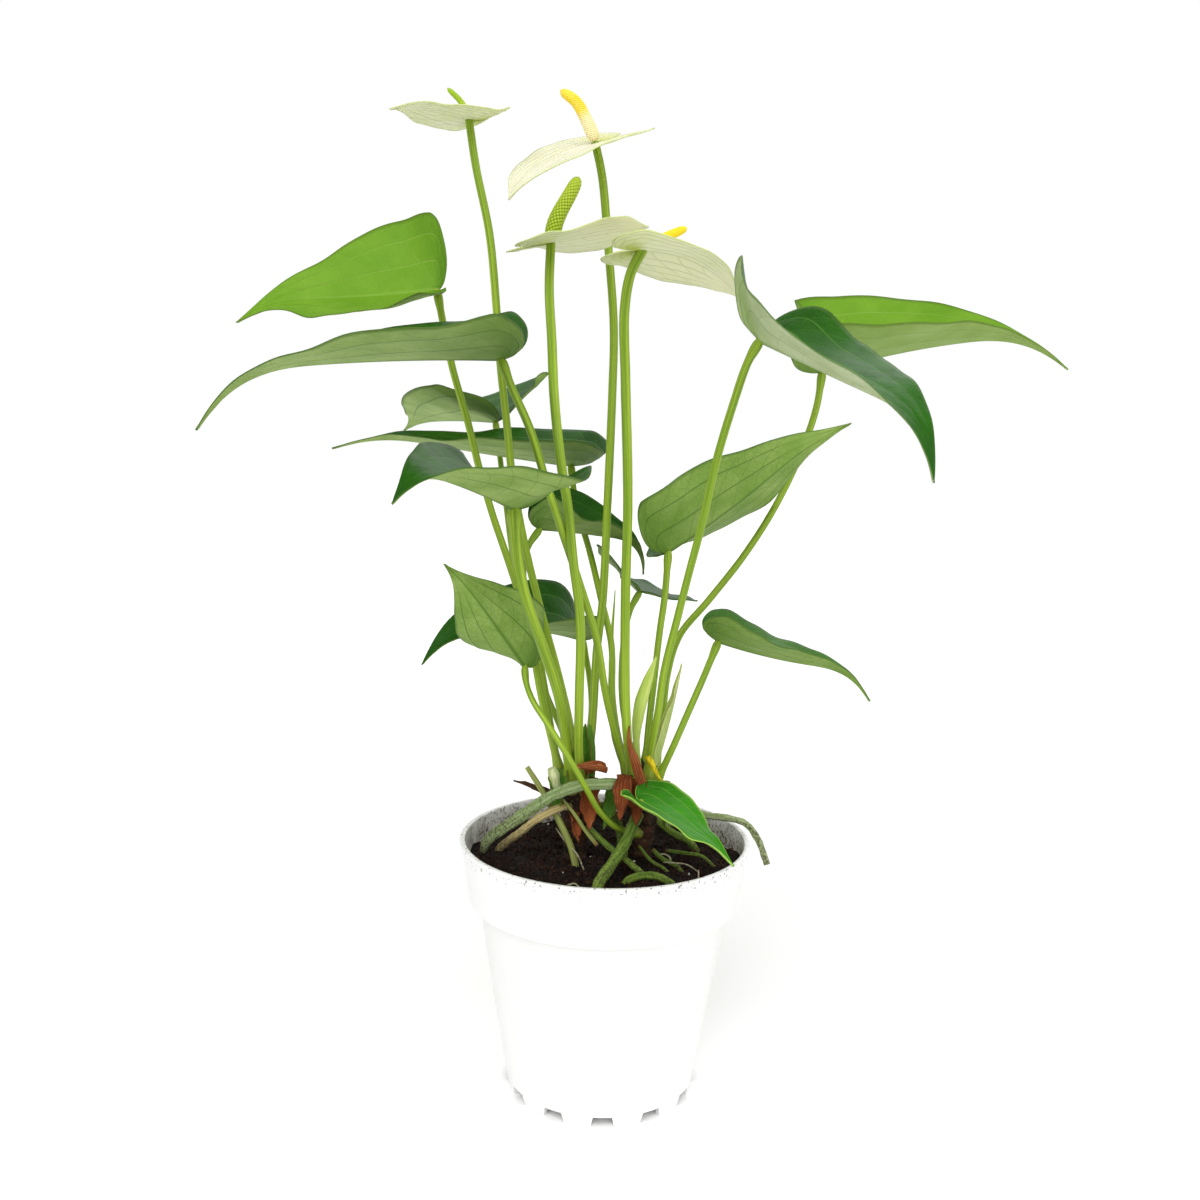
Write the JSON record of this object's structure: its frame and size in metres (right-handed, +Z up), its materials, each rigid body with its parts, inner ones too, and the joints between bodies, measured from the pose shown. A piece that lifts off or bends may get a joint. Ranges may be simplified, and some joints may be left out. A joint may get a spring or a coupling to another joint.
{
  "type": "potted anthurium",
  "caption": "Potted aroid: heart-shaped leaves on long petioles and cream-green spathes with yellow spadices, rising from rooted crowns in a plain white nursery pot.",
  "frame": {"origin": "centre of the pot's underside, on the surface that it stands on, on the pot's axis", "axes": "+Z up along the axis of the pot, which is the longest extent, +Y away from the viewer of the picture and +X to the right"},
  "size_m": [0.3573, 0.2996, 0.4077],
  "materials": {
    "pot_plastic": "satin",
    "potting_soil": "matte",
    "crown_bark": "matte",
    "stem": "satin",
    "young_leaf": "satin",
    "mature_leaf": "satin",
    "paler_leaf": "satin",
    "spathe": "satin",
    "yellow_spadix": "matte",
    "green_spadix": "matte",
    "green_root": "matte",
    "grey_root": "matte",
    "pale_root": "matte",
    "dry_sheath": "matte",
    "pale_sheath": "satin"
  },
  "bodies": {
    "root": {"pot": "pot_plastic", "soil": "potting_soil", "crown_left": "crown_bark", "crown_right": "crown_bark", "petiole_01": "stem", "leaf_01": "young_leaf", "petiole_02": "stem", "leaf_02": "mature_leaf", "petiole_03": "stem", "leaf_03": "mature_leaf", "petiole_04": "stem", "leaf_04": "mature_leaf", "petiole_05": "stem", "leaf_05": "mature_leaf", "petiole_06": "stem", "leaf_06": "mature_leaf", "petiole_07": "stem", "leaf_07": "mature_leaf", "petiole_08": "stem", "leaf_08": "paler_leaf", "petiole_09": "stem", "leaf_09": "mature_leaf", "petiole_10": "stem", "leaf_10": "young_leaf", "petiole_11": "stem", "leaf_11": "paler_leaf", "petiole_12": "stem", "leaf_12": "paler_leaf", "petiole_13": "stem", "leaf_13": "mature_leaf", "petiole_14": "stem", "leaf_14": "mature_leaf", "peduncle_1": "stem", "spathe_1": "spathe", "spadix_1": "green_spadix", "peduncle_2": "stem", "spathe_2": "spathe", "spadix_2": "yellow_spadix", "peduncle_3": "stem", "spathe_3": "spathe", "spadix_3": "green_spadix", "peduncle_4": "stem", "spathe_4": "spathe", "spadix_4": "yellow_spadix", "root_1": "green_root", "root_2": "pale_root", "root_3": "green_root", "root_4": "green_root", "root_5": "green_root", "root_6": "green_root", "root_7": "green_root", "root_8": "grey_root", "root_9": "grey_root", "petiole_stub": "stem", "new_leaf_spear": "stem", "leaf_bud": "pale_sheath", "cataphyll": "pale_sheath", "dry_sheath_1": "dry_sheath", "dry_sheath_2": "dry_sheath", "dry_sheath_3": "dry_sheath"}
  },
  "joints": []
}
